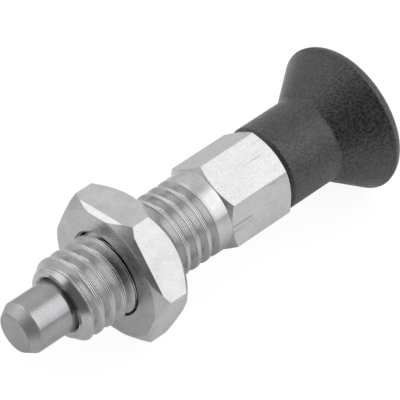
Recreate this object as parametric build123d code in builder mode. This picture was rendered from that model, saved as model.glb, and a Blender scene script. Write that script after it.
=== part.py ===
from build123d import *
from math import cos, pi, radians, sin, sqrt, tan

import os

# Indexing plunger: a spring-loaded locking pin in a threaded guide sleeve, pulled back by a moulded knob.
# Millimetres. The axis is X, from the pin's tip to the knob, +Z is up, and the sleeve's mouth is at X = 0.

# Guide sleeve
thread_diameter = 8.0  # M8 x 1.25, coarse, drawn at its outside diameter
thread_length = 15.7
mouth_land_diameter = 6.46  # flat ring left between the mouth's two chamfers
mouth_chamfer_length = 0.9
bore_chamfer = 0.27
collar_diameter = 7.88
collar_length = 1.2
hexagon_across_flats = 8.0
hexagon_length = 7.1
hexagon_turn = 31.5  # degrees from the lock nut's corners
hexagon_chamfer_angle = 30
hexagon_face_diameter = 7.9  # circle left flat on the hexagon's end faces
rear_wall = 3.0

# Locking pin
pin_diameter = 5.0
pin_protrusion = 4.8
pin_guided_length = 9.0
pin_tip_diameter = 3.76
pin_tip_length = 1.0
pin_heel_chamfer = 0.2
shank_diameter = 3.0
shank_in_knob = 8.0
shank_end_chamfer = 0.3
shank_groove_depth = 0.3
shank_groove_width = 1.0
shank_groove_setback = 2.5  # from the shank's end to the groove

# Return spring, closed and ground at both ends
wire_diameter = 0.55
wire_sides = 6  # round wire, drawn with six flat sides of the same section area
coil_mean_diameter = 4.0
active_turns = 8
closed_turns = 1
closed_coil_gap = 0.02

# Lock nut
nut_across_flats = 12.8
nut_thickness = 3.9
nut_setback = 5.55  # from the sleeve's mouth to the nut's front face
nut_front_face_inset = 0.1  # from the flats to the round face
nut_front_chamfer_angle = 40
nut_rear_face_inset = 0.2
nut_rear_chamfer_angle = 45
nut_edge_bevel = 0.2  # taken off the front edge of each flat
nut_edge_bevel_length = 0.65
nut_countersink_diameter = 8.8

# Pull knob
knob_neck_diameter = 8.45
knob_neck_length = 6.0
knob_front_chamfer = 0.3
knob_neck_fillet = 1.0
knob_cone_angle = 36  # from the axis
knob_rim_diameter = 14.34
knob_back_edge_diameter = 13.4
knob_band_length = 0.88
knob_band_bulge = 0.1
knob_back_chamfer = 0.4
knob_back_chamfer_length = 0.17

# Clearances, each on the radius
pin_clearance = 0.03
shank_clearance = 0.05
nut_clearance = 0.03

os.makedirs("parts", exist_ok=True)

# Places along the axis
hexagon_front = thread_length + collar_length
sleeve_rear = hexagon_front + hexagon_length
bore_end = sleeve_rear - rear_wall
pin_tip = -pin_protrusion
pin_shoulder = pin_guided_length
shank_end = sleeve_rear + shank_in_knob
groove_rear = shank_end - shank_groove_setback
groove_front = groove_rear - shank_groove_width
nut_rear = nut_setback + nut_thickness

# Radii
thread_radius = thread_diameter / 2
mouth_land_radius = mouth_land_diameter / 2
collar_radius = collar_diameter / 2
pin_radius = pin_diameter / 2
shank_radius = shank_diameter / 2
bore_radius = pin_radius + pin_clearance
shank_hole_radius = shank_radius + shank_clearance
groove_radius = shank_radius - shank_groove_depth


def chamfered_envelope(front, rear, front_face, rear_face, corner_radius, front_angle, rear_angle):
    """Turned outline that takes a hexagon's corners down to a round face at each end."""
    front_run = (corner_radius - front_face) * tan(radians(front_angle))
    rear_run = (corner_radius - rear_face) * tan(radians(rear_angle))
    return [
        (front, 0),
        (front, front_face),
        (front + front_run, corner_radius),
        (rear - rear_run, corner_radius),
        (rear, rear_face),
        (rear, 0),
    ]


def corner_radius_of(across_flats):
    """Distance from a hexagon's centre to its corners."""
    return across_flats / 2 / cos(radians(30))


# ---------------------------------------------------------------- guide sleeve
hexagon_corner = corner_radius_of(hexagon_across_flats)
with BuildPart() as guide_sleeve:
    with BuildSketch(Plane.YZ.offset(hexagon_front)):
        RegularPolygon(hexagon_corner, 6, rotation=hexagon_turn)
    extrude(amount=hexagon_length)
    with BuildSketch(Plane.XZ):
        Polygon(
            *chamfered_envelope(
                hexagon_front,
                sleeve_rear,
                hexagon_face_diameter / 2,
                hexagon_face_diameter / 2,
                hexagon_corner,
                hexagon_chamfer_angle,
                hexagon_chamfer_angle,
            ),
            align=None,
        )
    revolve(axis=Axis.X, mode=Mode.INTERSECT)
    # Threaded barrel and plain collar
    with BuildSketch(Plane.XZ):
        Polygon(
            (0, 0),
            (0, mouth_land_radius),
            (mouth_chamfer_length, thread_radius),
            (thread_length, thread_radius),
            (thread_length, collar_radius),
            (hexagon_front, collar_radius),
            (hexagon_front, 0),
            align=None,
        )
    revolve(axis=Axis.X)
    # Stepped bore: the pin's guide, then the shank's hole through the rear wall
    with BuildSketch(Plane.XZ):
        Polygon(
            (0, 0),
            (0, bore_radius + bore_chamfer),
            (bore_chamfer, bore_radius),
            (bore_end, bore_radius),
            (bore_end, shank_hole_radius),
            (sleeve_rear, shank_hole_radius),
            (sleeve_rear, 0),
            align=None,
        )
    revolve(axis=Axis.X, mode=Mode.SUBTRACT)

# ---------------------------------------------------------------- locking pin
with BuildPart() as locking_pin:
    with BuildSketch(Plane.XZ):
        Polygon(
            (pin_tip, 0),
            (pin_tip, pin_tip_diameter / 2),
            (pin_tip + pin_tip_length, pin_radius),
            (pin_shoulder - pin_heel_chamfer, pin_radius),
            (pin_shoulder, pin_radius - pin_heel_chamfer),
            (pin_shoulder, shank_radius),
            (groove_front, shank_radius),
            (groove_front, groove_radius),
            (groove_rear, groove_radius),
            (groove_rear, shank_radius),
            (shank_end - shank_end_chamfer, shank_radius),
            (shank_end, shank_radius - shank_end_chamfer),
            (shank_end, 0),
            align=None,
        )
    revolve(axis=Axis.X)

# ---------------------------------------------------------------- return spring
coil_radius = coil_mean_diameter / 2
spring_room = bore_end - pin_shoulder
closed_pitch = wire_diameter + closed_coil_gap
closed_length = closed_turns * closed_pitch
active_length = spring_room - 2 * closed_length
active_pitch = active_length / active_turns
wire_area = pi * wire_diameter**2 / 4
wire_corner_radius = sqrt(2 * wire_area / (wire_sides * sin(2 * pi / wire_sides)))
with BuildPart() as return_spring:
    # Each stretch of the coil: where it starts, its pitch and its length
    for start, pitch, length in (
        (pin_shoulder, closed_pitch, closed_length),
        (pin_shoulder + closed_length, active_pitch, active_length),
        (bore_end - closed_length, closed_pitch, closed_length),
    ):
        with BuildLine() as coil:
            Helix(pitch, length, coil_radius, center=(start, 0, 0), direction=(1, 0, 0))
        with BuildSketch(Plane.XZ):
            with Locations((start, coil_radius)):
                RegularPolygon(wire_corner_radius, wire_sides, rotation=180 / wire_sides)
        sweep(path=coil.wire(), is_frenet=True)
    # The ends are ground flat against the pin's shoulder and the bore's end
    with BuildSketch(Plane.YZ.offset(pin_shoulder)):
        Circle(bore_radius)
    extrude(amount=spring_room, mode=Mode.INTERSECT)

# ---------------------------------------------------------------- lock nut
nut_corner = corner_radius_of(nut_across_flats)
nut_bore_radius = thread_radius + nut_clearance
nut_countersink = nut_countersink_diameter / 2 - nut_bore_radius
with BuildPart() as lock_nut:
    # Each flat leans in over the bevel at the front, then runs straight back
    for place, across_flats in (
        (nut_setback, nut_across_flats - 2 * nut_edge_bevel),
        (nut_setback + nut_edge_bevel_length, nut_across_flats),
    ):
        with BuildSketch(Plane.YZ.offset(place)):
            RegularPolygon(corner_radius_of(across_flats), 6)
    loft(ruled=True)
    with BuildSketch(Plane.YZ.offset(nut_setback + nut_edge_bevel_length)):
        RegularPolygon(nut_corner, 6)
    extrude(amount=nut_thickness - nut_edge_bevel_length)
    with BuildSketch(Plane.XZ):
        Polygon(
            *chamfered_envelope(
                nut_setback,
                nut_rear,
                nut_across_flats / 2 - nut_front_face_inset,
                nut_across_flats / 2 - nut_rear_face_inset,
                nut_corner,
                nut_front_chamfer_angle,
                nut_rear_chamfer_angle,
            ),
            align=None,
        )
    revolve(axis=Axis.X, mode=Mode.INTERSECT)
    with BuildSketch(Plane.XZ):
        Polygon(
            (nut_setback, 0),
            (nut_setback, nut_bore_radius + nut_countersink),
            (nut_setback + nut_countersink, nut_bore_radius),
            (nut_rear - nut_countersink, nut_bore_radius),
            (nut_rear, nut_bore_radius + nut_countersink),
            (nut_rear, 0),
            align=None,
        )
    revolve(axis=Axis.X, mode=Mode.SUBTRACT)

# ---------------------------------------------------------------- pull knob
neck_radius = knob_neck_diameter / 2
rim_radius = knob_rim_diameter / 2
back_edge_radius = knob_back_edge_diameter / 2
cone_start = sleeve_rear + knob_neck_length
crease = cone_start + (rim_radius - neck_radius) / tan(radians(knob_cone_angle))
back_edge = crease + knob_band_length
knob_rear = back_edge + knob_back_chamfer_length
with BuildPart() as pull_knob:
    with BuildSketch(Plane.XZ) as knob_profile:
        with BuildLine():
            Polyline(
                (back_edge, back_edge_radius),
                (knob_rear, back_edge_radius - knob_back_chamfer),
                (knob_rear, 0),
                (sleeve_rear, 0),
                (sleeve_rear, neck_radius - knob_front_chamfer),
                (sleeve_rear + knob_front_chamfer, neck_radius),
                (cone_start, neck_radius),
                (crease, rim_radius),
            )
            SagittaArc((crease, rim_radius), (back_edge, back_edge_radius), knob_band_bulge)
        make_face()
        neck_corner = knob_profile.vertices().sort_by_distance((cone_start, neck_radius))[0]
        fillet(neck_corner, radius=knob_neck_fillet)
    revolve(axis=Axis.X)
    # Moulded round the shank, so the hole has the shank's form, groove and all
    with BuildSketch(Plane.XZ):
        Polygon(
            (sleeve_rear, 0),
            (sleeve_rear, shank_radius),
            (groove_front, shank_radius),
            (groove_front, groove_radius),
            (groove_rear, groove_radius),
            (groove_rear, shank_radius),
            (shank_end - shank_end_chamfer, shank_radius),
            (shank_end, shank_radius - shank_end_chamfer),
            (shank_end, 0),
            align=None,
        )
    revolve(axis=Axis.X, mode=Mode.SUBTRACT)

guide_sleeve.part.label = "guide_sleeve"
locking_pin.part.label = "locking_pin"
return_spring.part.label = "return_spring"
lock_nut.part.label = "lock_nut"
pull_knob.part.label = "pull_knob"

export_step(guide_sleeve.part, "parts/guide_sleeve.step")
export_step(locking_pin.part, "parts/locking_pin.step")
export_step(return_spring.part, "parts/return_spring.step")
export_step(lock_nut.part, "parts/lock_nut.step")
export_step(pull_knob.part, "parts/pull_knob.step")
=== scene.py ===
"""Indexing plunger: a sprung locking pin in a threaded guide sleeve, with a lock nut and a moulded pull knob.

Lengths are in millimetres until a piece is handed over, and in metres from there on. The axis is X, from the
pin's tip to the knob, and +Z is up. Angles round the axis run from +Y towards +Z.
"""

import logging
import math
from collections.abc import Callable, Iterable
from dataclasses import dataclass
from enum import Enum
from functools import cache

import bmesh
import bpy
from mathutils import Matrix, Quaternion, Vector


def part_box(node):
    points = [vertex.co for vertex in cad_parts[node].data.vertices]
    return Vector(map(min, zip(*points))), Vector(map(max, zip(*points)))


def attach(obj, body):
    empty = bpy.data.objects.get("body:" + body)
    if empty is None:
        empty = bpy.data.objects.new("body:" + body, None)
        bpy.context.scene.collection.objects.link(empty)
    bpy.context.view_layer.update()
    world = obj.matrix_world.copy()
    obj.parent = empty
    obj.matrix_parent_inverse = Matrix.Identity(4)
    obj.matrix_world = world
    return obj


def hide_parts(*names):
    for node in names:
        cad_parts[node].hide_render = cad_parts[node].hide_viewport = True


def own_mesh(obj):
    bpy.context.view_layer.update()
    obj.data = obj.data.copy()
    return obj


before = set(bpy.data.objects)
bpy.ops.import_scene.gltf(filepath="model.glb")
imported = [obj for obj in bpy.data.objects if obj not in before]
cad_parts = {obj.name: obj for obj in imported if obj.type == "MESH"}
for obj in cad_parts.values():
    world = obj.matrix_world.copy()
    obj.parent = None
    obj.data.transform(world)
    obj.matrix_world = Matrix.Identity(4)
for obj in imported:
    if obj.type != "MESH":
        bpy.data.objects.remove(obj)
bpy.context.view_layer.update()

log = logging.getLogger("indexing_plunger")

MM = 0.001
PER_METRE = 1000.0
AXIS = Vector((1.0, 0.0, 0.0))
WELD = 0.003
ON_PLANE = 1e-5
PITCH = 1.25
WHITE = (1.0, 1.0, 1.0, 1.0)
Socket = bpy.types.NodeSocket
Tree = bpy.types.NodeTree
Node = bpy.types.Node
BMesh = bmesh.types.BMesh
Pair = tuple[float, float]
Triple = tuple[float, float, float]
Outline = list[Triple]
Colour = Triple


class Body(Enum):
    """Moving bodies that pieces ride on."""

    SLEEVE = "sleeve"
    NUT = "nut"
    SPRING = "spring"
    PLUNGER = "plunger"


class Slot(Enum):
    """Names of material slots, one held by each piece, which this script does not use."""

    SLEEVE = "sleeve_steel"
    PIN = "pin_steel"
    SPRING = "spring_steel"
    NUT = "nut_steel"
    KNOB = "knob_plastic"


class Marks(Enum):
    """Direction of the fine lines that a machining step leaves."""

    TURNED = "turned"
    DRAWN = "drawn"


# ---------------- camera


@dataclass(frozen=True)
class StudioCamera:
    """Long-lens camera that looks down at the plunger from the pin's side."""

    target: Triple = (17.305, 0.5625, 0.5785)
    distance: float = 283.264
    azimuth: float = -37.896
    elevation: float = 37.502
    roll: float = -8.018
    lens: float = 290.25
    sensor: float = 36.0
    clip: Pair = (0.01, 20.0)

    def place(self) -> bpy.types.Object:
        """Makes the camera and gives it to the scene.

        Returns:
            The camera object.
        """
        turn, lift = math.radians(self.azimuth), math.radians(self.elevation)
        back = Vector((math.sin(turn) * math.cos(lift), -math.cos(turn) * math.cos(lift), math.sin(lift)))
        data = bpy.data.cameras.new("studio_camera")
        data.lens, data.sensor_width = self.lens, self.sensor
        data.clip_start, data.clip_end = self.clip
        camera = bpy.data.objects.new("studio_camera", data)
        bpy.context.scene.collection.objects.link(camera)
        camera.location = (Vector(self.target) + back * self.distance) * MM
        camera.rotation_mode = "QUATERNION"
        rolled = Quaternion((0.0, 0.0, 1.0), math.radians(self.roll))
        camera.rotation_quaternion = (-back).to_track_quat("-Z", "Y") @ rolled
        bpy.context.scene.camera = camera
        return camera


# ---------------- nodes


class Graph:
    """Short way to place shader nodes in a tree and join them."""

    def __init__(self, tree: Tree) -> None:
        """Keeps the tree that the nodes go into."""
        self.tree = tree

    def add(self, kind: str, settings: dict[str, object] | None = None, **inputs: object) -> Node:
        """Places a node and fills its inputs.

        Args:
            kind: Blender's name for the node's type.
            settings: Attributes of the node itself.
            inputs: Values or output sockets, by input name with underscores for spaces, or by i and a number.

        Returns:
            The new node.
        """
        node = self.tree.nodes.new(kind)
        for key, value in (settings or {}).items():
            setattr(node, key, value)
        for key, value in inputs.items():
            numbered = key[0] == "i" and key[1:].isdigit()
            socket = node.inputs[int(key[1:])] if numbered else node.inputs[key.replace("_", " ")]
            if isinstance(value, Socket):
                self.link(value, socket)
            else:
                socket.default_value = value
        return node

    def link(self, source: Socket, target: Socket) -> None:
        """Joins the output source to the input target."""
        self.tree.links.new(source, target)

    def use(self, group: Tree, **inputs: object) -> Socket:
        """Places a node group.

        Args:
            group: The group.
            inputs: Its inputs by name.

        Returns:
            The socket of its first output.
        """
        return self.add("ShaderNodeGroup", {"node_tree": group}, **inputs).outputs[0]

    def noise(self, place: object, scale: object, detail: float, **inputs: float) -> Socket:
        """Places a Noise Texture node.

        Args:
            place: Where to look it up.
            scale: Its scale.
            detail: Its detail.
            inputs: Its other inputs by name.

        Returns:
            The value's socket.
        """
        return self.add("ShaderNodeTexNoise", Vector=place, Scale=scale, Detail=detail, **inputs).outputs[0]

    def math(self, operation: str, *values: object) -> Socket:
        """Places a Math node.

        Args:
            operation: The node's operation.
            values: Its inputs in order.

        Returns:
            The result's socket.
        """
        inputs = {f"i{index}": value for index, value in enumerate(values)}
        return self.add("ShaderNodeMath", {"operation": operation}, **inputs).outputs[0]

    def vector(self, operation: str, *values: object) -> Node:
        """Places a Vector Math node.

        Args:
            operation: The node's operation.
            values: Its inputs in order.

        Returns:
            The node, whose first output is a vector and second a value.
        """
        inputs = {f"i{index}": value for index, value in enumerate(values)}
        return self.add("ShaderNodeVectorMath", {"operation": operation}, **inputs)

    def scaled(self, vector: object, scale: object) -> Socket:
        """Places a Vector Math node that scales a vector.

        Args:
            vector: The vector.
            scale: What to scale it by.

        Returns:
            The result's socket.
        """
        return self.add("ShaderNodeVectorMath", {"operation": "SCALE"}, i0=vector, Scale=scale).outputs[0]

    def blend(self, share: object, one: object, two: object) -> Socket:
        """Places a Mix node for values.

        Args:
            share: How much of the second value there is.
            one: The first value.
            two: The second value.

        Returns:
            The result's socket.
        """
        return self.add("ShaderNodeMix", {"data_type": "FLOAT"}, i0=share, i2=one, i3=two).outputs[0]

    def spread(self, value: object, low: float, high: float, to_low: object, to_high: object) -> Socket:
        """Places a smooth Map Range node.

        Args:
            value: The value to map.
            low: Where the range starts.
            high: Where the range ends.
            to_low: The result at the start.
            to_high: The result at the end.

        Returns:
            The result's socket.
        """
        return self.add(
            "ShaderNodeMapRange", {"interpolation_type": "SMOOTHSTEP"},
            i0=value, i1=low, i2=high, i3=to_low, i4=to_high,
        ).outputs[0]

    def ramp(self, value: object, stops: Iterable[Pair]) -> Socket:
        """Places a grey Color Ramp node.

        Args:
            value: The value to look up, from 0 to 1.
            stops: Each stop's place and its grey.

        Returns:
            The result's socket.
        """
        node = self.add("ShaderNodeValToRGB", Fac=value)
        elements = node.color_ramp.elements
        elements.remove(elements[1])
        for index, (place, grey) in enumerate(stops):
            element = elements[0] if index == 0 else elements.new(place)
            element.position, element.color = place, (grey, grey, grey, 1.0)
        return node.outputs["Color"]


class Effects:
    """Shader node groups that more than one finish uses, each built once."""

    def group(
        self, name: str, inputs: dict[str, float], outputs: Iterable[str]
    ) -> tuple[Tree, Graph, Node, Node]:
        """Makes an empty group with its sockets.

        Args:
            name: The group's name.
            inputs: Default value of each input.
            outputs: Names of the outputs.

        Returns:
            The tree, its graph, and its input and output nodes.
        """
        tree = bpy.data.node_groups.new(name, "ShaderNodeTree")
        for key, value in inputs.items():
            socket = tree.interface.new_socket(key, in_out="INPUT", socket_type="NodeSocketFloat")
            socket.default_value = value
        for key in outputs:
            tree.interface.new_socket(key, in_out="OUTPUT", socket_type="NodeSocketFloat")
        graph = Graph(tree)
        return tree, graph, graph.add("NodeGroupInput"), graph.add("NodeGroupOutput")

    def millimetres(self, graph: Graph) -> Socket:
        """Gives the surface's own position in millimetres.

        Args:
            graph: The graph to place the nodes in.

        Returns:
            The position's socket.
        """
        place = graph.add("ShaderNodeTexCoord").outputs["Object"]
        return graph.vector("MULTIPLY", place, (PER_METRE,) * 3).outputs[0]

    def patchy(self, graph: Graph, fine: Socket, place: Socket, scale: float, broken: Socket) -> Socket:
        """Weakens fine marks in patches.

        Args:
            graph: The graph to place the nodes in.
            fine: The marks, about 0.5.
            place: The surface's position.
            scale: How many patches there are to a millimetre.
            broken: How much the marks lose where they are weakest.

        Returns:
            The marks' socket.
        """
        patch = graph.noise(place, scale, 2.0)
        keep = graph.spread(patch, 0.35, 0.65, graph.math("SUBTRACT", 1.0, broken), 1.0)
        return graph.math("MULTIPLY_ADD", graph.math("SUBTRACT", fine, 0.5), keep, 0.5)

    @cache
    def turned(self) -> Tree:
        """Rings round the axis on a cylinder and circles on a face, as a tool point leaves them.

        Returns:
            The group.
        """
        tree, graph, given, result = self.group("turning_marks", {"Spacing": 0.1, "Break": 0.3}, ["Marks"])
        place = self.millimetres(graph)
        parts = graph.add("ShaderNodeSeparateXYZ", Vector=place).outputs
        across = graph.add("ShaderNodeCombineXYZ", Y=parts["Y"], Z=parts["Z"]).outputs[0]
        radius = graph.vector("LENGTH", across).outputs["Value"]
        slow = graph.add("ShaderNodeSeparateXYZ", Vector=graph.scaled(place, 0.05)).outputs
        along = graph.math("DIVIDE", parts["X"], given.outputs["Spacing"])
        out = graph.math("DIVIDE", radius, given.outputs["Spacing"])
        way = graph.math("ADD", slow["Y"], slow["Z"])
        where = graph.add("ShaderNodeCombineXYZ", X=along, Y=out, Z=way).outputs[0]
        fine = graph.noise(where, 1.0, 3.0, Roughness=0.6)
        graph.link(self.patchy(graph, fine, place, 0.9, given.outputs["Break"]), result.inputs["Marks"])
        return tree

    @cache
    def drawn(self) -> Tree:
        """Lines along the axis, as a drawing die leaves them on bar.

        Returns:
            The group.
        """
        tree, graph, given, result = self.group("drawing_lines", {"Spacing": 0.1, "Break": 0.3}, ["Marks"])
        place = self.millimetres(graph)
        long = graph.vector("MULTIPLY", place, (0.02, 1.0, 1.0)).outputs[0]
        inverse = graph.math("DIVIDE", 1.0, given.outputs["Spacing"])
        fine = graph.noise(graph.scaled(long, inverse), 1.0, 3.0, Roughness=0.6)
        graph.link(self.patchy(graph, fine, place, 0.7, given.outputs["Break"]), result.inputs["Marks"])
        return tree

    @cache
    def cloud(self) -> Tree:
        """Soft uneven tone, as plating or handling leaves.

        Returns:
            The group.
        """
        tree, graph, given, result = self.group("cloudy_tone", {"Size": 2.0}, ["Tone"])
        place = self.millimetres(graph)
        scale = graph.math("DIVIDE", 1.0, given.outputs["Size"])
        tone = graph.noise(place, scale, 4.0, Roughness=0.55, Distortion=0.4)
        graph.link(graph.spread(tone, 0.3, 0.7, 0.0, 1.0), result.inputs["Tone"])
        return tree

    @cache
    def speckle(self) -> Tree:
        """Fine bright and dull specks with a few thin lines along the axis, as plated bar shows them.

        Returns:
            The group, whose tone is about 1.
        """
        tree, graph, given, result = self.group("fine_speckle", {"Specks": 0.1, "Lines": 0.0}, ["Tone"])
        place = self.millimetres(graph)
        fleck = graph.noise(place, 6.0, 2.0, Roughness=0.7)
        centred = graph.math("MULTIPLY", graph.math("SUBTRACT", fleck, 0.5), 4.0)
        tone = graph.math("MULTIPLY_ADD", centred, given.outputs["Specks"], 1.0)
        long = graph.vector("MULTIPLY", place, (0.012, 1.0, 1.0)).outputs[0]
        streak = graph.noise(long, 1.1, 1.0, Roughness=0.4)
        off = graph.math("ABSOLUTE", graph.math("SUBTRACT", streak, 0.5))
        thin = graph.spread(off, 0.0, 0.012, 1.0, 0.0)
        where = graph.noise(place, 0.30, 1.0)
        thin = graph.math("MULTIPLY", thin, graph.spread(where, 0.49, 0.54, 0.0, 1.0))
        left = graph.math("SUBTRACT", 1.0, graph.math("MULTIPLY", thin, given.outputs["Lines"]))
        graph.link(graph.math("MULTIPLY", tone, left), result.inputs["Tone"])
        return tree

    @cache
    def grain(self) -> Tree:
        """Fine pebbled grain of a spark-eroded mould.

        Returns:
            The group.
        """
        tree, graph, given, result = self.group("moulded_grain", {"Size": 0.2}, ["Grain"])
        place = self.millimetres(graph)
        scale = graph.math("DIVIDE", 1.0, given.outputs["Size"])
        settings = {"feature": "SMOOTH_F1"}
        pebble = graph.add("ShaderNodeTexVoronoi", settings, Vector=place, Scale=scale).outputs["Distance"]
        speck = graph.noise(place, scale, 3.0, Roughness=0.7)
        graph.link(graph.math("MULTIPLY_ADD", pebble, 0.6, speck), result.inputs["Grain"])
        return tree


EFFECTS = Effects()


# ---------------- finishes


@dataclass(frozen=True)
class Finish:
    """What any finish has, and how its material is made."""

    name: str
    colour: Colour
    roughness: float

    def material(self) -> bpy.types.Material:
        """Gives the finish's material.

        Returns:
            The material, made once for each name.
        """
        made = bpy.data.materials.get(self.name)
        if made is None:
            made = bpy.data.materials.new(self.name)
            made.use_nodes = True
            self.dress(Graph(made.node_tree), made.node_tree.nodes["Principled BSDF"])
        return made

    def dress(self, graph: Graph, shader: Node) -> None:
        """Sets the material's shader up.

        Args:
            graph: The material's graph.
            shader: Its shader.
        """
        raise NotImplementedError

    def two_toned(self, graph: Graph, share: Socket, tone: float) -> Socket:
        """Varies the colour between a darker and a lighter one.

        Args:
            graph: The material's graph.
            share: How much of the lighter one shows.
            tone: How far the two are from the finish's own, as a part of it.

        Returns:
            The colour's socket.
        """
        low, high = (
            (*(min(1.0, part * scale) for part in self.colour), 1.0) for scale in (1.0 - tone, 1.0 + tone)
        )
        return graph.add("ShaderNodeMix", {"data_type": "RGBA"}, i0=share, i6=low, i7=high).outputs[2]

    def emboss(self, graph: Graph, shader: Node, height: Socket, depth: float) -> None:
        """Raises a pattern on the surface.

        Args:
            graph: The material's graph.
            shader: Its shader.
            height: The pattern, from 0 to 1.
            depth: How high 1 stands, in millimetres.
        """
        bump = graph.add("ShaderNodeBump", Strength=1.0, Distance=depth * MM, Height=height)
        graph.link(bump.outputs[0], shader.inputs["Normal"])


@dataclass(frozen=True)
class SteelFinish(Finish):
    """Machined steel: fine marks under a slightly cloudy plated or oiled skin."""

    marks: Marks = Marks.TURNED
    spacing: float = 0.09
    broken: float = 0.4
    depth: float = 0.0008
    marks_roughness: float = 0.10
    cloud_size: float = 2.2
    cloud_roughness: float = 0.08
    cloud_tone: float = 0.08
    specks: float = 0.10
    lines: float = 0.0
    least_roughness: float = 0.04

    def dress(self, graph: Graph, shader: Node) -> None:
        """Sets the material's shader up.

        Args:
            graph: The material's graph.
            shader: Its shader.
        """
        shader.inputs["Metallic"].default_value = 1.0
        tree = EFFECTS.turned() if self.marks is Marks.TURNED else EFFECTS.drawn()
        marks = graph.use(tree, Spacing=self.spacing, Break=self.broken)
        cloud = graph.use(EFFECTS.cloud(), Size=self.cloud_size)
        centred = graph.math("SUBTRACT", cloud, 0.5)
        rough = graph.math("MULTIPLY_ADD", centred, 2.0 * self.cloud_roughness, self.roughness)
        ridged = graph.math("SUBTRACT", marks, 0.5)
        rough = graph.math("MULTIPLY_ADD", ridged, 2.0 * self.marks_roughness, rough)
        graph.link(graph.math("MAXIMUM", rough, self.least_roughness), shader.inputs["Roughness"])
        speckle = graph.use(EFFECTS.speckle(), Specks=self.specks, Lines=self.lines)
        mixed = self.two_toned(graph, cloud, self.cloud_tone)
        graph.link(graph.scaled(mixed, speckle), shader.inputs["Base Color"])
        self.emboss(graph, shader, marks, self.depth)


@dataclass(frozen=True)
class PlasticFinish(Finish):
    """Dark moulded plastic with a fine matt grain."""

    grain_size: float = 0.24
    grain_depth: float = 0.07
    tone: float = 0.7
    specular: float = 0.78
    cloud_size: float = 1.5
    cloud_roughness: float = 0.06

    def dress(self, graph: Graph, shader: Node) -> None:
        """Sets the material's shader up.

        Args:
            graph: The material's graph.
            shader: Its shader.
        """
        shader.inputs["Specular IOR Level"].default_value = self.specular
        grain = graph.use(EFFECTS.grain(), Size=self.grain_size)
        cloud = graph.use(EFFECTS.cloud(), Size=self.cloud_size)
        centred = graph.math("SUBTRACT", cloud, 0.5)
        rough = graph.math("MULTIPLY_ADD", centred, 2.0 * self.cloud_roughness, self.roughness)
        graph.link(rough, shader.inputs["Roughness"])
        share = graph.spread(grain, 0.6, 0.95, 0.0, 1.0)
        graph.link(self.two_toned(graph, share, self.tone), shader.inputs["Base Color"])
        self.emboss(graph, shader, grain, self.grain_depth)


ZINC: Colour = (0.58, 0.58, 0.59)
NUT_ZINC: Colour = (0.60, 0.60, 0.61)
PLATED_TURNED = SteelFinish("plated_turned_steel", ZINC, 0.17, cloud_roughness=0.04)
PLATED_DRAWN = SteelFinish(
    "plated_drawn_steel", ZINC, 0.16, Marks.DRAWN, cloud_roughness=0.03, cloud_tone=0.04, lines=0.3,
    specks=0.16)
PLATED_THREAD = SteelFinish("plated_rolled_thread", ZINC, 0.21, spacing=0.16, cloud_roughness=0.05, specks=0.13)
NUT_TURNED = SteelFinish("nut_turned_face", NUT_ZINC, 0.30, spacing=0.22, depth=0.004, specks=0.13)
NUT_DRAWN = SteelFinish("nut_drawn_flats", NUT_ZINC, 0.16, Marks.DRAWN, cloud_roughness=0.03)
PIN_TURNED = SteelFinish("fine_turned_pin", (0.38, 0.38, 0.39), 0.16, cloud_roughness=0.03)
PIN_CHAMFER = SteelFinish("turned_pin_chamfer", (0.50, 0.50, 0.51), 0.50, cloud_roughness=0.03)
SPRING_WIRE = SteelFinish("spring_wire", (0.40, 0.40, 0.41), 0.30, spacing=0.05)
KNOB_GRAIN = PlasticFinish("knob_moulded_plastic", (0.028, 0.028, 0.029), 0.27)


# ---------------- shaping


@dataclass(frozen=True)
class Lathe:
    """Turns outlines of (place along the axis, radius, rounding) into forms round the axis."""

    start: float = 0.0
    steps: int = 96

    def wire(self, bm: BMesh, outline: Outline, segments: int) -> None:
        """Draws an outline as edges, and rounds its corners.

        Args:
            bm: The mesh to draw in.
            outline: The points, each with the distance from its corner at which the rounding starts.
            segments: How many pieces each rounding has.
        """
        turn = math.radians(self.start)
        verts = [bm.verts.new((x, r * math.cos(turn), r * math.sin(turn))) for x, r, _ in outline]
        for one, two in zip(verts, verts[1:]):
            bm.edges.new((one, two))
        for vert, (_, _, rounding) in zip(verts, outline):
            if rounding:
                bmesh.ops.bevel(
                    bm, geom=[vert], offset=rounding, offset_type="OFFSET", segments=segments,
                    profile=0.5, affect="VERTICES", material=-1,
                )

    def turn(self, outline: Outline, segments: int = 3) -> BMesh:
        """Spins an outline once round the axis.

        Args:
            outline: The points of the outline.
            segments: How many pieces each rounding has.

        Returns:
            The turned form, welded on the axis.
        """
        bm = bmesh.new()
        self.wire(bm, outline, segments)
        bmesh.ops.spin(
            bm, geom=bm.verts[:] + bm.edges[:], cent=(0, 0, 0), axis=AXIS, dvec=(0, 0, 0),
            angle=2 * math.pi, steps=self.steps, use_merge=True,
        )
        bmesh.ops.remove_doubles(bm, verts=bm.verts[:], dist=WELD / 3)
        return bm


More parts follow.
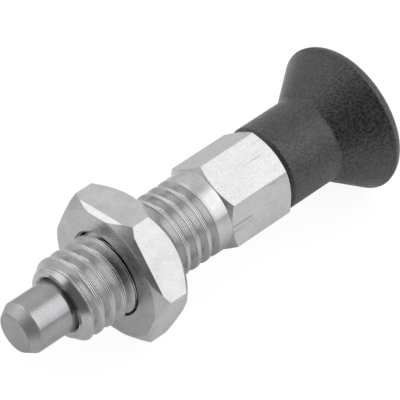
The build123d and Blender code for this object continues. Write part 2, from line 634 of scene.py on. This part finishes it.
@dataclass(frozen=True)
class ThreadForm:
    """Right-hand thread, given as one pitch of its outline and where a crest passes."""

    outline: Outline
    pitch: float = PITCH
    crest_place: float = 4.11
    crest_angle: float = 135.8
    spare_turns: float = 1.5

    def skin(
        self, bm: BMesh, lathe: Lathe, low: float, high: float, material: int,
        limit: Callable[[float, float], float],
    ) -> None:
        """Winds the thread's surface between two planes, and closes it on a circle at each.

        Args:
            bm: The mesh to add it to.
            lathe: The lathe whose steps it shares.
            low: Where it starts along the axis.
            high: Where it ends along the axis.
            material: Material index of its faces.
            limit: Takes a place along the axis and a radius and gives the radius that is left there.
        """
        made = bmesh.new()
        lathe.wire(made, self.outline, segments=2)
        phase = self.crest_place + self.pitch * (lathe.start - self.crest_angle) / 360.0
        first = phase - self.pitch * math.ceil((phase - low) / self.pitch + self.spare_turns)
        turns = math.ceil((high - first) / self.pitch + self.spare_turns)
        bmesh.ops.translate(made, verts=made.verts[:], vec=AXIS * first)
        bmesh.ops.spin(
            made, geom=made.verts[:] + made.edges[:], cent=(0, 0, 0), axis=AXIS,
            dvec=AXIS * (self.pitch / lathe.steps), angle=2 * math.pi * turns, steps=lathe.steps * turns,
        )
        for vert in made.verts:
            x = min(max(vert.co.x, low), high)
            radius = math.hypot(vert.co.y, vert.co.z)
            scale = limit(x, radius) / radius
            vert.co = (x, vert.co.y * scale, vert.co.z * scale)
        bmesh.ops.remove_doubles(made, verts=made.verts[:], dist=WELD)
        for face in made.faces:
            face.material_index = material
        held = bpy.data.meshes.new("thread_skin")
        made.to_mesh(held)
        made.free()
        bm.from_mesh(held)
        bpy.data.meshes.remove(held)
        bmesh.ops.remove_doubles(bm, verts=bm.verts[:], dist=WELD)
        bmesh.ops.dissolve_degenerate(bm, edges=bm.edges[:], dist=WELD / 3)


@dataclass(frozen=True)
class Hexagon:
    """Six flats round the axis, with a lean bevel along their front edges where one is given."""

    across_flats: float
    first_flat: float
    edge: float
    bevel: Triple | None = None
    least_turn: float = 15.0

    @property
    def apothem(self) -> float:
        """Distance from the axis to a flat."""
        return self.across_flats / 2.0

    @property
    def first_corner(self) -> float:
        """Angle of a corner round the axis."""
        return self.first_flat + 30.0

    @property
    def corner(self) -> float:
        """Distance from the axis to a corner."""
        return self.apothem / math.cos(math.radians(30.0))

    def planes(self) -> Iterable[tuple[Vector, Vector]]:
        """Gives the cutting planes, as a point and the direction outward.

        Yields:
            Each flat's plane, and its bevel's plane after it.
        """
        for index in range(6):
            turn = math.radians(self.first_flat + 60.0 * index)
            outward = Vector((0.0, math.cos(turn), math.sin(turn)))
            yield outward * self.apothem, outward
            if self.bevel:
                front, length, depth = self.bevel
                slanted = (outward * length - AXIS * depth).normalized()
                yield AXIS * (front + length) + outward * self.apothem, slanted

    def cut(self, bm: BMesh, material: int) -> None:
        """Cuts the flats from a round form, and breaks their edges.

        Args:
            bm: The form, which stands past the corners.
            material: Material index of the flats.
        """
        for place, normal in self.planes():
            cut = bmesh.ops.bisect_plane(
                bm, geom=bm.verts[:] + bm.edges[:] + bm.faces[:], dist=ON_PLANE,
                plane_co=place, plane_no=normal, clear_outer=True,
            )
            edges = [part for part in cut["geom_cut"] if isinstance(part, bmesh.types.BMEdge)]
            for face in bmesh.ops.contextual_create(bm, geom=edges)["faces"]:
                face.material_index = material
        flats = {face for face in bm.faces if face.material_index == material}
        bmesh.ops.recalc_face_normals(bm, faces=bm.faces[:])
        sharp = [
            edge for edge in bm.edges
            if edge.is_manifold and any(face in flats for face in edge.link_faces)
            and edge.calc_face_angle() > math.radians(self.least_turn)
        ]
        bmesh.ops.bevel(
            bm, geom=sharp, offset=self.edge, offset_type="OFFSET", segments=2, profile=0.5,
            affect="EDGES", clamp_overlap=True, material=-1,
        )


@dataclass(frozen=True)
class Shank:
    """Thin rear part of the pin, with the groove that holds it in the knob."""

    radius: float = 1.5
    groove: float = 1.2
    groove_front: float = 28.5
    groove_rear: float = 29.5
    chamfer: float = 0.3

    def outline(self, front: float, end: float, groove_edge: float = 0.0, end_edge: float = 0.0) -> Outline:
        """Gives the shank's outline, from its surface at the front to the axis at its end.

        Args:
            front: Where it starts along the axis.
            end: Where it ends.
            groove_edge: Rounding of the groove's edges.
            end_edge: Rounding of the end's chamfer.

        Returns:
            The outline.
        """
        return [
            (front, self.radius, 0.0), (self.groove_front, self.radius, groove_edge),
            (self.groove_front, self.groove, 0.0), (self.groove_rear, self.groove, 0.0),
            (self.groove_rear, self.radius, groove_edge), (end - self.chamfer, self.radius, end_edge),
            (end, self.radius - self.chamfer, end_edge), (end, 0.0, 0.0),
        ]


@dataclass(frozen=True)
class Piece:
    """One finished piece: the node it stands for, the body it rides on and its finishes.

    Edges that turn by more degrees than sharp are shaded as sharp, and so are those round a face that lies
    square across the axis.
    """

    name: str
    node: str
    body: Body
    slot: Slot
    finishes: tuple[Finish, ...]
    sharp: float = 40.0
    square: float = 0.99999

    def span(self) -> Pair:
        """Gives where the piece's node starts and ends along the axis.

        Returns:
            The two places in millimetres.
        """
        low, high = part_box(self.node)
        return round(low.x / MM, 4), round(high.x / MM, 4)

    def place(self, bm: BMesh) -> bpy.types.Object:
        """Makes the piece's object from its mesh, dresses it and puts it on its body.

        Args:
            bm: The finished mesh in millimetres, which is used up.

        Returns:
            The object.
        """
        bmesh.ops.recalc_face_normals(bm, faces=bm.faces[:])
        for face in bm.faces:
            face.smooth = True
        for edge in bm.edges:
            square = sum(abs(face.normal.x) > self.square for face in edge.link_faces)
            even = square != 1 and edge.is_manifold and edge.calc_face_angle() < math.radians(self.sharp)
            edge.smooth = even or not edge.is_manifold
        open_edges = sum(not edge.is_manifold for edge in bm.edges)
        draft = bpy.data.meshes.new(self.name)
        bm.to_mesh(draft)
        bm.free()
        obj = bpy.data.objects.new(self.name, draft)
        bpy.context.scene.collection.objects.link(obj)
        obj.modifiers.new("even_normals", "WEIGHTED_NORMAL").keep_sharp = True
        depsgraph = bpy.context.evaluated_depsgraph_get()
        mesh = bpy.data.meshes.new_from_object(obj.evaluated_get(depsgraph))
        obj.modifiers.clear()
        mesh.transform(Matrix.Scale(MM, 4))
        obj.data = mesh
        bpy.data.meshes.remove(draft)
        mesh.name = self.name
        for finish in self.finishes:
            mesh.materials.append(finish.material())
        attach(obj, self.body.value)
        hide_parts(self.node)
        log.info("%s: %d faces, %d open edges", self.name, len(mesh.polygons), open_edges)
        return obj


@dataclass
class Maker:
    """What builds one piece."""

    piece: Piece

    def mesh(self) -> BMesh:
        """Builds the piece's form.

        Returns:
            The mesh in millimetres.
        """
        raise NotImplementedError

    def build(self) -> bpy.types.Object:
        """Builds and places the piece.

        Returns:
            The object.
        """
        return self.piece.place(self.mesh())


# ---------------- pieces


@dataclass
class GuideSleeve(Maker):
    """Threaded sleeve with a plain collar and a hexagon, bored for the pin."""

    piece: Piece = Piece(
        "threaded_sleeve", "guide_sleeve", Body.SLEEVE, Slot.SLEEVE,
        (PLATED_TURNED, PLATED_DRAWN, PLATED_THREAD))
    hexagon: Hexagon = Hexagon(across_flats=8.0, first_flat=1.5, edge=0.05)
    thread_end: float = 15.7
    thread_fade: float = 0.7
    thread_root: float = 3.24
    thread_crest: float = 3.94
    thread_seam: float = 0.035
    mouth_land: float = 3.23
    mouth_slope: float = 0.856
    bore: float = 2.53
    bore_chamfer: float = 0.27
    collar: float = 3.94
    hexagon_length: float = 7.1
    spare: float = 0.12
    chamfer_slope: float = math.tan(math.radians(30.0))
    shank_hole: float = 1.55
    rear_wall: float = 3.0

    def thread(self) -> ThreadForm:
        """Gives the rolled thread, whose crests have a shallow seam between two lips.

        Returns:
            The thread form.
        """
        half, foot, top, lip = PITCH / 2.0, 0.545, 0.16, 0.06
        crest, root = self.thread_crest, self.thread_root
        return ThreadForm([
            (-half, root, 0.0), (-foot, root, 0.05), (-top, crest, 0.04), (-lip, crest, 0.02),
            (0.0, crest - self.thread_seam, 0.02), (lip, crest, 0.02), (top, crest, 0.04),
            (foot, root, 0.05), (half, root, 0.0),
        ])

    def left_radius(self, x: float, radius: float) -> float:
        """Gives the thread's radius after the mouth's chamfer and the run-out have been turned.

        Args:
            x: Place along the axis.
            radius: The full thread's radius there.

        Returns:
            The radius that is left.
        """
        cone = self.mouth_land + self.mouth_slope * x
        share = min(max((x - self.thread_end + self.thread_fade) / self.thread_fade, 0.0), 1.0)
        share = share * share * (3.0 - 2.0 * share)
        return min(radius, cone) * (1.0 - share) + self.collar * share

    def mesh(self) -> BMesh:
        """Builds the sleeve.

        Returns:
            The mesh in millimetres.
        """
        mouth, rear = self.piece.span()
        front = rear - self.hexagon_length
        proud = self.hexagon.corner + self.spare
        run = (proud - self.collar) * self.chamfer_slope
        bore_end = rear - self.rear_wall
        lathe = Lathe(start=self.hexagon.first_corner)
        bm = lathe.turn([
            (mouth, self.mouth_land, 0.0), (mouth, self.bore + self.bore_chamfer, 0.03),
            (mouth + self.bore_chamfer, self.bore, 0.05), (bore_end, self.bore, 0.0),
            (bore_end, self.shank_hole, 0.0), (rear, self.shank_hole, 0.05),
            (rear, self.collar, 0.04), (rear - run, proud, 0.0), (front + run, proud, 0.0),
            (front, self.collar, 0.02), (self.thread_end, self.collar, 0.0),
        ])
        self.hexagon.cut(bm, 1)
        self.thread().skin(bm, lathe, mouth, self.thread_end, 2, self.left_radius)
        return bm


@dataclass
class LockNut(Maker):
    """Thin hexagon nut, chamfered on both faces."""

    piece: Piece = Piece("hexagon_nut", "lock_nut", Body.NUT, Slot.NUT, (NUT_TURNED, NUT_DRAWN))
    hexagon: Hexagon = Hexagon(across_flats=12.8, first_flat=30.0, edge=0.09, bevel=(5.55, 0.58, 0.2))
    front_inset: float = 0.1
    rear_inset: float = 0.2
    front_slope: float = math.tan(math.radians(40.0))
    rear_slope: float = math.tan(math.radians(45.0))
    countersink: float = 4.2
    bore: float = 4.03
    groove: float = 0.17
    spare: float = 0.15

    def thread(self) -> ThreadForm:
        """Gives the nut's thread, cut outward from its bore.

        Returns:
            The thread form.
        """
        half, top, foot = PITCH / 2.0, 0.36, 0.14
        crest, root = self.bore, self.bore + self.groove
        return ThreadForm([
            (-half, crest, 0.0), (-top, crest, 0.04), (-foot, root, 0.04), (foot, root, 0.04),
            (top, crest, 0.04), (half, crest, 0.0),
        ])

    def mesh(self) -> BMesh:
        """Builds the nut.

        Returns:
            The mesh in millimetres.
        """
        front, rear = self.piece.span()
        proud = self.hexagon.corner + self.spare
        front_face = self.hexagon.apothem - self.front_inset
        rear_face = self.hexagon.apothem - self.rear_inset
        lathe = Lathe(start=self.hexagon.first_corner)
        bm = lathe.turn([
            (front, self.countersink, 0.0), (front, front_face, 0.05),
            (front + (proud - front_face) * self.front_slope, proud, 0.0),
            (rear - (proud - rear_face) * self.rear_slope, proud, 0.0),
            (rear, rear_face, 0.05), (rear, self.countersink, 0.0),
        ])
        self.hexagon.cut(bm, 1)
        self.thread().skin(
            bm, lathe, front, rear, 0,
            lambda x, radius: max(radius, self.countersink - min(x - front, rear - x)),
        )
        return bm


@dataclass
class LockingPin(Maker):
    """Pin with a chamfered tip, a shoulder for the spring and a grooved shank for the knob."""

    piece: Piece = Piece(
        "chamfered_pin", "locking_pin", Body.PLUNGER, Slot.PIN, (PIN_TURNED, PIN_CHAMFER), sharp=50.0)
    radius: float = 2.5
    tip_radius: float = 1.88
    tip_length: float = 1.0
    shoulder: float = 9.0
    heel: float = 0.2
    shank: Shank = Shank()
    first_angle: float = 45.8
    chamfer_margin: float = 0.05

    def mesh(self) -> BMesh:
        """Builds the pin and its shank.

        Returns:
            The mesh in millimetres.
        """
        tip, end = self.piece.span()
        bm = Lathe(start=self.first_angle).turn([
            (tip, 0.0, 0.0), (tip, self.tip_radius, 0.10), (tip + self.tip_length, self.radius, 0.10),
            (self.shoulder - self.heel, self.radius, 0.03), (self.shoulder, self.radius - self.heel, 0.03),
            *self.shank.outline(self.shoulder, end, groove_edge=0.04, end_edge=0.03),
        ])
        low, high = tip + self.chamfer_margin, tip + self.tip_length - self.chamfer_margin
        for face in bm.faces:
            face.material_index = int(low < face.calc_center_median().x < high)
        return bm


@dataclass
class ReturnSpring(Maker):
    """Coil spring with closed and ground ends, between the pin's shoulder and the sleeve's rear wall."""

    piece: Piece = Piece("coil_spring", "return_spring", Body.SPRING, Slot.SPRING, (SPRING_WIRE,))
    wire: float = 0.275
    coil: float = 2.0
    closed_pitch: float = 0.57
    active_turns: int = 8
    travel: float = 5.0
    wire_sides: int = 16
    steps: int = 48

    def mesh(self) -> BMesh:
        """Winds the wire and grinds its ends.

        Returns:
            The mesh in millimetres.
        """
        low, high = self.piece.span()
        bm = bmesh.new()
        upright = Matrix.Translation((low, 0.0, self.coil)) @ Matrix.Rotation(math.pi / 2, 4, "X")
        bmesh.ops.create_circle(bm, segments=self.wire_sides, radius=self.wire, matrix=upright)
        last: list[bmesh.types.BMVert | bmesh.types.BMEdge] = bm.verts[:] + bm.edges[:]
        active_pitch = (high - low - 2.0 * self.closed_pitch) / self.active_turns
        closed = (self.closed_pitch, 1)
        for pitch, turns in (closed, (active_pitch, self.active_turns), closed):
            last = bmesh.ops.spin(
                bm, geom=last, cent=(0, 0, 0), axis=AXIS, dvec=AXIS * (pitch / self.steps),
                angle=2 * math.pi * turns, steps=self.steps * turns,
            )["geom_last"]
        bmesh.ops.holes_fill(bm, edges=[edge for edge in bm.edges if edge.is_boundary], sides=0)
        bmesh.ops.recalc_face_normals(bm, faces=bm.faces[:])
        for place, outward in ((low, -1.0), (high, 1.0)):
            bmesh.ops.bisect_plane(
                bm, geom=bm.verts[:] + bm.edges[:] + bm.faces[:], dist=ON_PLANE,
                plane_co=AXIS * place, plane_no=AXIS * outward, clear_outer=True,
            )
            bmesh.ops.holes_fill(bm, edges=[edge for edge in bm.edges if edge.is_boundary], sides=0)
        return bm

    def build(self) -> bpy.types.Object:
        """Builds and places the spring, and gives it a mesh of its own."""
        low, high = self.piece.span()
        obj = self.piece.place(self.mesh())
        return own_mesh(obj)


@dataclass
class PullKnob(Maker):
    """Mushroom-shaped knob moulded round the pin's shank."""

    piece: Piece = Piece("mushroom_knob", "pull_knob", Body.PLUNGER, Slot.KNOB, (KNOB_GRAIN,), sharp=50.0)
    neck: float = 4.225
    front_chamfer: float = 0.3
    cone_start: float = 30.0
    crease: float = 34.05
    rim: float = 7.17
    back_edge: float = 34.93
    back_radius: float = 6.7
    back_inset: float = 0.4
    bulge: Pair = (0.07, 0.12)
    shank: Shank = Shank()
    shank_end: float = 32.0

    def mesh(self) -> BMesh:
        """Builds the knob with the shank's hole in it.

        Returns:
            The mesh in millimetres.
        """
        front, rear = self.piece.span()
        middle = 0.5 * (self.crease + self.back_edge) + self.bulge[0]
        widest = 0.5 * (self.rim + self.back_radius) + self.bulge[1]
        return Lathe().turn([
            *reversed(self.shank.outline(front, self.shank_end)),
            (front, self.neck - self.front_chamfer, 0.06), (front + self.front_chamfer, self.neck, 0.10),
            (self.cone_start, self.neck, 0.12), (self.crease, self.rim, 0.06), (middle, widest, 0.3),
            (self.back_edge, self.back_radius, 0.12), (rear, self.back_radius - self.back_inset, 0.15),
            (rear, 0.0, 0.0),
        ], segments=4)


# ---------------- studio


@dataclass(frozen=True)
class SoftBox:
    """Rectangular soft light that faces the plunger."""

    name: str
    towards: Triple
    distance: float
    width: float
    height: float
    radiance: float

    def place(self, target: Vector) -> bpy.types.Object:
        """Makes the light.

        Args:
            target: What it faces, in metres.

        Returns:
            The light object.
        """
        data = bpy.data.lights.new(self.name, "AREA")
        data.shape = "RECTANGLE"
        data.size, data.size_y = self.width, self.height
        data.energy = self.radiance * math.pi * self.width * self.height
        light = bpy.data.objects.new(self.name, data)
        bpy.context.scene.collection.objects.link(light)
        away = Vector(self.towards).normalized()
        light.location = target + away * self.distance
        light.rotation_mode = "QUATERNION"
        light.rotation_quaternion = (-away).to_track_quat("-Z", "Y")
        light.visible_camera = light.visible_glossy = False
        return light


@dataclass(frozen=True)
class Panel:
    """Soft-edged panel of light in the surroundings, as polished steel shows it.

    Its sides are slopes from the line to its middle. Each has the slope over which it fades on either side.
    Over the two slopes of rise it goes from its first level to its second.
    """

    azimuth: float
    elevation: float
    left: Pair
    right: Pair
    low: Pair
    high: Pair
    rise: Pair
    level: Pair
    least_depth: float = 0.05

    def onto(self, graph: Graph, way: Socket, pale: Socket) -> Socket:
        """Lays the panel over what is behind it.

        Args:
            graph: The world's graph.
            way: The direction looked at.
            pale: How bright the surroundings are without it.

        Returns:
            How bright they are with it.
        """
        turn, lift = math.radians(self.azimuth), math.radians(self.elevation)
        ahead = (math.sin(turn) * math.cos(lift), -math.cos(turn) * math.cos(lift), math.sin(lift))
        aside = (math.cos(turn), math.sin(turn), 0.0)
        above = (-math.sin(turn) * math.sin(lift), math.cos(turn) * math.sin(lift), math.cos(lift))
        depth, side, height = (
            graph.vector("DOT_PRODUCT", way, axis).outputs["Value"] for axis in (ahead, aside, above)
        )
        depth = graph.math("MAXIMUM", depth, self.least_depth)
        across, upward = graph.math("DIVIDE", side, depth), graph.math("DIVIDE", height, depth)
        share: object = 1.0
        for place, (edge, fade), inward in (
            (across, self.left, 1), (across, self.right, -1), (upward, self.low, 1), (upward, self.high, -1),
        ):
            ends = (0.0, 1.0) if inward > 0 else (1.0, 0.0)
            share = graph.math("MULTIPLY", share, graph.spread(place, edge - fade, edge + fade, *ends))
        level = graph.spread(upward, *self.rise, *self.level)
        return graph.blend(share, pale, level)


@dataclass
class Studio:
    """Plain pale floor, soft studio light and the air round them.

    The heights are the levels in gloss from straight down, at 0, to straight up, at 1. In gloss the floor is
    clear, with a painted shadow that darkens what is seen below it near the plunger. The flag is the
    direction of a dark screen.
    """

    floor_level: float = -7.17
    floor_size: float = 900.0
    floor_colour: Colour = (0.85, 0.85, 0.85)
    floor_glow: float = 1.12
    floor_glow_share: float = 0.82
    # Painted shadow: where the soft dark spot lies that gloss sees on the clear floor near the plunger, and how
    # dark it is.
    painted_shadow_centre: Triple = (24.0, 1.0, 0.0)
    painted_shadow_scale: Triple = (0.025, 0.1, 0.0)
    painted_shadow_reach: Pair = (0.1, 1.2)
    painted_shadow_level: float = 0.40
    key: SoftBox = SoftBox("key_softbox", (0.487, -0.626, 0.609), 0.35, 0.39, 0.34, 1.0)
    panels: tuple[Panel, ...] = (
        Panel(
            45.0, 32.0, left=(-0.46, 0.10), right=(0.62, 0.14), low=(-0.60, 0.04), high=(0.56, 0.22),
            rise=(-0.95, 0.15), level=(0.97, 1.64),
        ),
        Panel(
            -90.0, 90.0, left=(-1.10, 0.26), right=(-0.22, 0.14), low=(-1.35, 0.12), high=(0.32, 0.14),
            rise=(-0.45, 0.10), level=(1.20, 1.52),
        ),
    )
    heights: tuple[Pair, ...] = (
        (0.0, 0.82), (0.35, 0.84), (0.415, 0.66), (0.46, 0.60), (0.51, 0.66), (0.575, 0.72), (0.675, 0.78),
        (0.80, 0.84), (0.90, 0.82), (1.0, 0.72),
    )
    ground_sides: Pair = (-0.6, 0.5)
    ground_levels: Pair = (0.86, 1.03)
    ground_edge: Pair = (-0.17, 0.0)
    flag: Triple = (-0.740, -0.620, 0.260)
    flag_edge: Pair = (0.60, 0.80)
    flag_foot: Pair = (-0.50, -0.25)
    flag_level: float = 0.13
    matt_level: float = 0.6

    def rays(self, graph: Graph) -> tuple[Socket, Socket]:
        """Tells apart what the camera sees and what gloss mirrors.

        Args:
            graph: The graph to place the nodes in.

        Returns:
            The socket that is 1 for the camera's own view, and the one that is 1 for mirrored views.
        """
        ray = graph.add("ShaderNodeLightPath").outputs
        mirrored = graph.math("MAXIMUM", ray["Is Glossy Ray"], ray["Is Transmission Ray"])
        return ray["Is Camera Ray"], mirrored

    def floor(self) -> bpy.types.Object:
        """Makes the floor, which is white to the eye, keeps the plunger's shadow and shows a painted shadow in
        gloss.

        Returns:
            The floor object.
        """
        bm = bmesh.new()
        bmesh.ops.create_grid(bm, x_segments=1, y_segments=1, size=self.floor_size * MM)
        bmesh.ops.translate(bm, verts=bm.verts[:], vec=(0, 0, self.floor_level * MM))
        mesh = bpy.data.meshes.new("studio_floor")
        bm.to_mesh(mesh)
        bm.free()
        obj = bpy.data.objects.new("studio_floor", mesh)
        bpy.context.scene.collection.objects.link(obj)
        made = bpy.data.materials.new("studio_floor")
        made.use_nodes = True
        graph = Graph(made.node_tree)
        made.node_tree.nodes.remove(made.node_tree.nodes["Principled BSDF"])
        seen, mirrored = self.rays(graph)
        paper = graph.add("ShaderNodeBsdfDiffuse", Color=(*self.floor_colour, 1.0)).outputs[0]
        glow = graph.add("ShaderNodeEmission", Color=WHITE, Strength=self.floor_glow).outputs[0]
        share = graph.math("MULTIPLY", seen, self.floor_glow_share)
        lit = graph.add("ShaderNodeMixShader", i0=share, i1=paper, i2=glow).outputs[0]
        # Painted shadow in gloss: glossy rays see through the floor, darkened in a soft spot near the plunger
        # where its shadow falls.
        place = graph.vector("SUBTRACT", EFFECTS.millimetres(graph), self.painted_shadow_centre).outputs[0]
        place = graph.vector("MULTIPLY", place, self.painted_shadow_scale).outputs[0]
        away = graph.vector("LENGTH", place).outputs["Value"]
        painted_shadow_tone = graph.spread(away, *self.painted_shadow_reach, self.painted_shadow_level, 1.0)
        grey = graph.add("ShaderNodeCombineColor", i0=painted_shadow_tone, i1=painted_shadow_tone, i2=painted_shadow_tone).outputs[0]
        clear = graph.add("ShaderNodeBsdfTransparent", Color=grey).outputs[0]
        mixed = graph.add("ShaderNodeMixShader", i0=mirrored, i1=lit, i2=clear).outputs[0]
        graph.link(mixed, made.node_tree.nodes["Material Output"].inputs["Surface"])
        mesh.materials.append(made)
        return obj

    def surroundings(self, graph: Graph) -> Socket:
        """Works out how bright each direction is in gloss: pale card, light panels and a dark flag.

        Args:
            graph: The world's graph.

        Returns:
            The brightness.
        """
        way = graph.add("ShaderNodeTexCoord").outputs["Generated"]
        parts = graph.add("ShaderNodeSeparateXYZ", Vector=way).outputs
        pale = graph.ramp(graph.math("MULTIPLY_ADD", parts["Z"], 0.5, 0.5), self.heights)
        ground = graph.spread(parts["X"], *self.ground_sides, *self.ground_levels)
        pale = graph.math("MULTIPLY", pale, graph.spread(parts["Z"], *self.ground_edge, ground, 1.0))
        for panel in self.panels:
            pale = panel.onto(graph, way, pale)
        facing = graph.vector("DOT_PRODUCT", way, self.flag).outputs["Value"]
        facing = graph.spread(facing, *self.flag_edge, 0.0, 1.0)
        dark = graph.math("MULTIPLY", facing, graph.spread(parts["Z"], *self.flag_foot, 0.0, 1.0))
        return graph.blend(dark, pale, self.flag_level)

    def air(self) -> bpy.types.World:
        """Makes the air: white to the eye, even on matt surfaces, and the surroundings in gloss.

        Returns:
            The world.
        """
        world = bpy.data.worlds.new("studio_air")
        bpy.context.scene.world = world
        world.use_nodes = True
        world.cycles.sampling_method = "NONE"
        graph = Graph(world.node_tree)
        seen, mirrored = self.rays(graph)
        background = world.node_tree.nodes["Background"]
        level = graph.blend(mirrored, self.matt_level, self.surroundings(graph))
        graph.link(graph.blend(seen, level, 1.0), background.inputs["Strength"])
        background.inputs["Color"].default_value = WHITE
        return world

    def build(self, target: Vector) -> None:
        """Makes the whole studio.

        Args:
            target: What the lights face, in metres.
        """
        bpy.context.scene.view_settings.view_transform = "Standard"
        self.floor()
        self.air()
        self.key.place(target)


def main() -> None:
    """Builds the camera, the pieces and the studio in order."""
    logging.basicConfig(level=logging.INFO, format="%(name)s: %(message)s")
    StudioCamera().place()
    for maker in (GuideSleeve(), LockNut(), LockingPin(), ReturnSpring(), PullKnob()):
        maker.build()
    Studio().build(Vector(StudioCamera.target) * MM)


if __name__ == "__main__":
    main()
